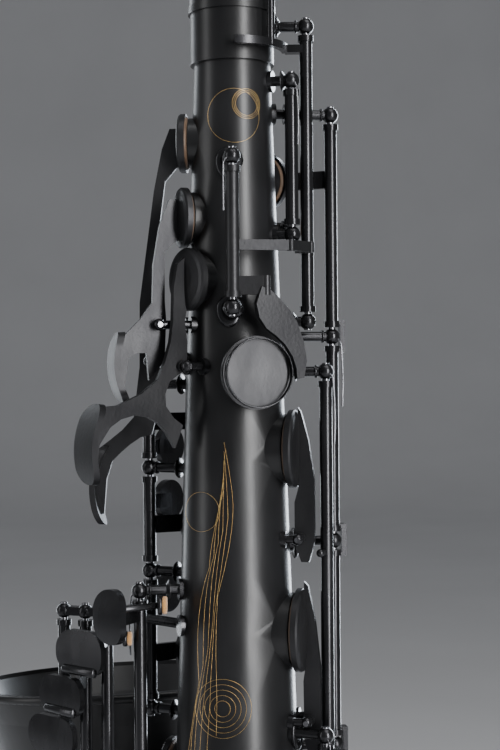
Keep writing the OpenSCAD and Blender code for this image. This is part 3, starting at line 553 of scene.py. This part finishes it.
# A needle spring: rod, height of its post, which way it runs, the key it pushes and its length.
NEEDLES = [
    ("upper", 144, -1, "key_b", 13), ("upper", 115, -1, "key_a", 15), ("upper", 79, -1, "key_g", 20),
    ("lower", -9, -1, "key_f", 18), ("lower", -50.5, -1, "key_e", 18), ("lower", -91.5, -1, "key_d", 18),
    ("gsharp", 75, -1, "g_sharp", 22), ("e", 160, -1, "high_e", 24), ("side_c", 148, -1, "side_c_lever", 24),
    ("side_bb", 27.5, -1, "side_bb_lever", 9),
    ("low", -128, -1, "low_eb", 8), ("low", -217, 1, "low_c", 16),
    ("octave", 218, -1, "octave_lever", 18), ("pip", 246, -1, "pip_key", 22),
]


def needle_springs():
    for rod, z, way, body, length in NEEDLES:
        x, y = RODS[rod]
        out = Vector((x, y, 0)).normalized()
        side = out.cross(Vector((0, 0, 1)))
        root = side * 1.6 + out * 1.4
        off = side * 2.8 + out * 2.6
        tip = off + out * 0.3
        points = [work(*(Vector((x, y, z + way * 0.4)) + root))]
        for i in range(9):
            s = i / 8
            bow = 0.35 * math.sin(math.pi * s)
            climb = Vector((0, 0, way * (2.5 + (length - 2.5) * s)))
            spot = Vector((x, y, z)) + off.lerp(tip, s) + out * bow + climb
            points.append(work(*spot))
        wire(points, 0.3 * MM, "needle_" + body, MATERIALS["screw_steel"], "instrument")


# ---------------------------------------------------------------- neck
RECEIVER_H = 19.5
NECK_FOOT = SEAM + RECEIVER_H + 12
NECK_BEND = 58
NECK_TURN = 98


def neck_place(turn):
    t = math.radians(turn)
    return work(0, -NECK_BEND * (1 - math.cos(t)), NECK_FOOT + NECK_BEND * math.sin(t))


def neck_frame(turn):
    t = math.radians(turn)
    return frame_on(neck_place(turn), Vector((0, -math.sin(t), math.cos(t))))


def swept(rows, name, steps=64):
    """Joins rings given as (matrix, radius) into one closed skin."""
    bm = bmesh.new()
    rings = []
    for m, radius in rows:
        ring = []
        for i in range(steps):
            t = 2 * math.pi * i / steps
            ring.append(bm.verts.new(m @ Vector((radius * math.cos(t), radius * math.sin(t), 0))))
        rings.append(ring)
    for a, b in zip(rings, rings[1:]):
        for i in range(steps):
            j = (i + 1) % steps
            bm.faces.new((a[i], a[j], b[j], b[i]))
    for i in range(steps):
        j = (i + 1) % steps
        bm.faces.new((rings[-1][i], rings[-1][j], rings[0][j], rings[0][i]))
    bmesh.ops.recalc_face_normals(bm, faces=bm.faces)
    mesh = bpy.data.meshes.new(name)
    bm.to_mesh(mesh)
    bm.free()
    shade_smooth(mesh)
    return bpy.data.objects.new(name, mesh)


def neck():
    """The neck's tube as one smooth tapered sweep, with the bore inside it and a lug for its key."""
    outer = []
    count = 48
    for i in range(count + 1):
        turn = NECK_TURN * i / count
        outer.append((neck_frame(turn), (12.4 - (12.4 - 8.3) * turn / NECK_TURN) * MM))
    end = neck_frame(NECK_TURN)
    for along, radius in ((4, 8.1), (9, 7.8), (15.8, 7.4), (43.6, 7.4), (44, 7.2), (44, 6.5)):
        outer.append((end @ Matrix.Translation((0, 0, along * MM)), radius * MM))
    inner = [(end @ Matrix.Translation((0, 0, 43 * MM)), 6.3 * MM), (end, 7.2 * MM)]
    for i in range(count, -1, -4):
        turn = NECK_TURN * i / count
        inner.append((neck_frame(turn), (11.3 - (11.3 - 7.2) * turn / NECK_TURN) * MM))
    tube = swept(outer + inner, "neck_skin")
    link(tube, MATERIALS["black_lacquer"], "instrument")
    lug_mesh = bpy.data.meshes.new("neck_lug")
    bm = bmesh.new()
    bmesh.ops.create_cube(bm, size=1)
    t = math.radians(48)
    place = neck_place(48) + Vector((0, math.cos(t), math.sin(t))) * 12.5 * MM
    turn = Matrix.Rotation(t, 4, "X")
    bmesh.ops.transform(bm, verts=bm.verts, matrix=Matrix.Translation(place) @ turn @ Matrix.Diagonal(
        (7 * MM, 7 * MM, 4.4 * MM, 1)))
    bmesh.ops.bevel(bm, geom=bm.edges[:], offset=0.7 * MM, segments=3, affect="EDGES")
    bm.to_mesh(lug_mesh)
    bm.free()
    lug = bpy.data.objects.new("neck_lug", lug_mesh)
    link(lug, MATERIALS["black_lacquer"], "instrument")
    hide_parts("neck_tube")


def cork_sleeve():
    end = neck_frame(NECK_TURN) @ Matrix.Translation((0, 0, 16.2 * MM))
    outline = [(7.42, 0.1), (7.85, 0.0), (8.0, 0.5), (8.0, 26.9), (7.85, 27.4), (7.42, 27.3), (7.42, 0.1)]
    sleeve = lathe([(a * MM, b * MM) for a, b in outline], end, "cork_sleeve")
    link(sleeve, MATERIALS["cork"], "instrument")
    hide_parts("neck_cork")


# ---------------------------------------------------------------- engraving
def engrave():
    """Plain flowing lines and rings in fine gold on the back of the tube."""
    lift = 0.00001
    line = 0.00005
    top = TUBE_HIGH.z
    for k in range(6):
        points = []
        reach = 96 + 5 * k
        for i in range(140):
            s = i / 139
            z = top - (127 + 3 * k + s * reach) * MM
            swell = math.sin(math.pi * min(1.0, s * 1.9)) * (8 - 4.5 * k)
            fall = -(14 + 9 * k) * max(0.0, s - 0.22) ** 0.85
            back = (16 + 5 * k) * max(0.0, s - 0.72) ** 1.2
            ripple = 1.6 * math.sin(9 * s + 1.3 * k)
            points.append(on_tube(-31 + swell + fall + back + ripple * s, z, lift))
        wire(points, line, "line_flow_%d" % k, GOLD_LINE, "instrument")
    rings = [(-3, 15, 3.9, 5, 3), (-18, 19, 9, 9, 1), (-53, 150, 6.5, 6.5, 1), (-33, 214, 2.6, 9.6, 5)]
    for group, (bearing, down, small, large, count) in enumerate(rings):
        for k in range(count):
            r = (small + (large - small) * (k / max(count - 1, 1))) * MM
            z0 = top - down * MM
            ring = []
            for i in range(72):
                t = 2 * math.pi * i / 72
                z = z0 + r * math.sin(t)
                turn = math.degrees(r * math.cos(t) / tube_r(z))
                ring.append(on_tube(bearing + turn, z, lift))
            wire(ring, line, "line_ring_%d_%d" % (group, k), GOLD_LINE, "instrument", True)


def barrel(start, end, radius, name, material, body):
    """A turned pin with softened ends from one working-frame point to another."""
    a = work(*start)
    b = work(*end)
    length = (b - a).length
    wide = radius * MM
    soft = min(0.3 * MM, wide * 0.4)
    profile = [(0, 0), (wide - soft, 0), (wide, soft)]
    profile += [(wide, length - soft), (wide - soft, length), (0, length)]
    return link(lathe(profile, frame_on(a, b - a), name, 40), material, body)


def bumper(centre, towards, radius, name, body):
    """A felt disc held in a shallow black cup."""
    c = Vector(centre)
    d = Vector(towards).normalized()
    barrel(c - d * 1.5, c, radius, name + "_cup", MATERIALS["black_nickel"], body)
    barrel(c - d * 0.05, c + d * 1.5, radius - 0.3, name + "_felt", FELT, body)


PIP_Z = 197
PIP_BEARING = 75


def bumpers():
    """Two felt bumpers on the G sharp lever, each on a turned pin, and a felt ring on the pip key."""
    towards = Vector((0.906, -0.4226, 0))
    black = MATERIALS["black_nickel"]
    high = Vector((-27.9, -2.4, 71.1))
    root = Vector((-45.6, -3.2, 70.6))
    barrel(root, high - towards * 1.2, 1.1, "bumper_pin_high", black, "g_sharp")
    bumper(high, towards, 3.2, "bumper_high", "g_sharp")
    low = Vector((-37.8, 4.4, 59.8))
    root = Vector((-45.4, -1.4, 62.4))
    barrel(root, low - towards * 1.2, 0.9, "bumper_pin_low", black, "g_sharp")
    bumper(low, towards, 2.6, "bumper_low", "g_sharp")
    seat = frame_on(spoke(wall_r(PIP_Z), PIP_BEARING, PIP_Z), spoke_dir(PIP_BEARING))
    ring = lathe(ring_profile(2.5, 3.0, 1.8, 2.3, 0.12), seat, "pip_felt", 48)
    link(ring, FELT, "pip_key")


def table_details():
    """Rollers along the left-hand table's plates."""
    across = Vector((-0.4226, 0.9063, 0))
    normal = Vector((-0.9063, -0.4226, 0))
    plates = {"low_csharp": (Vector((-50, 17, 54)), 15, 0), "low_b": (Vector((-53, 22, 39)), 13, -4)}
    for body, (centre, tall, turn) in plates.items():
        place = centre + normal * 0.4 + Vector((0, 0, -tall / 2 + 1.6))
        roller = [(0, 0), (1.5, 0), (1.7, 0.4), (1.7, 14.6), (1.5, 15), (0, 15)]
        spot = swung(body, turn) @ frame_on(work(*(place - across * 7.5)), across)
        turned = lathe([(a * MM, b * MM) for a, b in roller], spot, "roller_" + body, 32)
        link(turned, MATERIALS["black_nickel"], body)


# ---------------------------------------------------------------- stage, light and camera
VIEW_TURN = math.radians(-25)
RIGHT = Vector((math.cos(VIEW_TURN), math.sin(VIEW_TURN), 0))
AHEAD = Vector((-math.sin(VIEW_TURN), math.cos(VIEW_TURN), 0))
AXIS_MID = Vector((0, AXIS_Y, 0))


def soft_light(name, place, aim, size, power, colour=(1, 1, 1)):
    data = bpy.data.lights.new(name, "AREA")
    data.shape = "RECTANGLE"
    data.size, data.size_y = size
    data.energy = power
    data.color = colour
    obj = bpy.data.objects.new(name, data)
    bpy.context.scene.collection.objects.link(obj)
    obj.location = place
    obj.rotation_euler = (Vector(aim) - Vector(place)).to_track_quat("-Z", "Y").to_euler()
    return obj


def around(degrees_right, distance, height):
    """A point round the tube, measured from the camera's side towards the right of the picture."""
    t = math.radians(degrees_right)
    flat = AXIS_MID - AHEAD * math.cos(t) * distance + RIGHT * math.sin(t) * distance
    return Vector((flat.x, flat.y, height))


def stage_and_light():
    floor_z = CAD_BOX[0][2] - 0.004
    mesh = bpy.data.meshes.new("floor")
    bm = bmesh.new()
    flat_end = 4.2
    curve = 1.4
    depth = [(-6.0, 0.0), (flat_end, 0.0)]
    for i in range(1, 13):
        t = math.pi / 2 * i / 12
        depth.append((flat_end + curve * math.sin(t), curve - curve * math.cos(t)))
    depth.append((flat_end + curve, 6.0))
    rows = []
    for along, up in depth:
        row = []
        for side in (-6.0, 6.0):
            p = AXIS_MID + AHEAD * along + RIGHT * side
            row.append(bm.verts.new((p.x, p.y, floor_z + up)))
        rows.append(row)
    for a, b in zip(rows, rows[1:]):
        bm.faces.new((a[0], a[1], b[1], b[0]))
    bm.to_mesh(mesh)
    bm.free()
    shade_smooth(mesh)
    floor = bpy.data.objects.new("floor", mesh)
    bpy.context.scene.collection.objects.link(floor)
    m = Nodes("floor_paper")
    m.colour(m.ramp(m.noise(3, 3), 0, 1), (0.60, 0.60, 0.61), (0.63, 0.63, 0.64))
    m.set(Roughness=0.9)
    floor.data.materials.append(m.material)
    world = bpy.data.worlds.new("studio")
    world.use_nodes = True
    world.node_tree.nodes["Background"].inputs["Color"].default_value = (0.75, 0.77, 0.8, 1)
    world.node_tree.nodes["Background"].inputs["Strength"].default_value = 0.3
    bpy.context.scene.world = world
    aim = Vector((0, AXIS_Y, 0.12))
    soft_light("key_right", around(34, 1.2, 0.3), aim, (0.2, 1.15), 22)
    soft_light("fill_left", around(-75, 1.2, 0.3), aim, (0.3, 1.15), 3.5)
    soft_light("rim_right", around(152, 1.0, 0.3), aim, (0.25, 1.15), 14, (0.85, 0.92, 1))
    soft_light("rim_left", around(-140, 1.1, 0.25), aim, (0.25, 1.0), 4, (0.9, 0.95, 1))
    soft_light("top", Vector((0.1, -0.5, 1.5)), aim, (1.0, 1.0), 12)


CAMERA_DISTANCE = 0.513
CAMERA_SHIFT = 0.0066
CAMERA_HEIGHT = 0.152
CAMERA_LEAN = math.radians(0.45)


def camera():
    data = bpy.data.cameras.new("camera")
    data.lens = 72
    data.sensor_width = 36
    data.clip_start = 0.02
    obj = bpy.data.objects.new("camera", data)
    bpy.context.scene.collection.objects.link(obj)
    place = AXIS_MID - AHEAD * CAMERA_DISTANCE + RIGHT * CAMERA_SHIFT
    obj.location = (place.x, place.y, CAMERA_HEIGHT)
    look = AHEAD.to_track_quat("-Z", "Y").to_matrix()
    lean = Matrix.Rotation(CAMERA_LEAN, 3, AHEAD)
    obj.rotation_euler = (lean @ look).to_euler()
    bpy.context.scene.camera = obj


finish_nodes()
make_pads()
pearls()
thumb_rim()
post_rings()
post_plates()
needle_springs()
neck()
cork_sleeve()
engrave()
table_details()
bumpers()
stage_and_light()
camera()
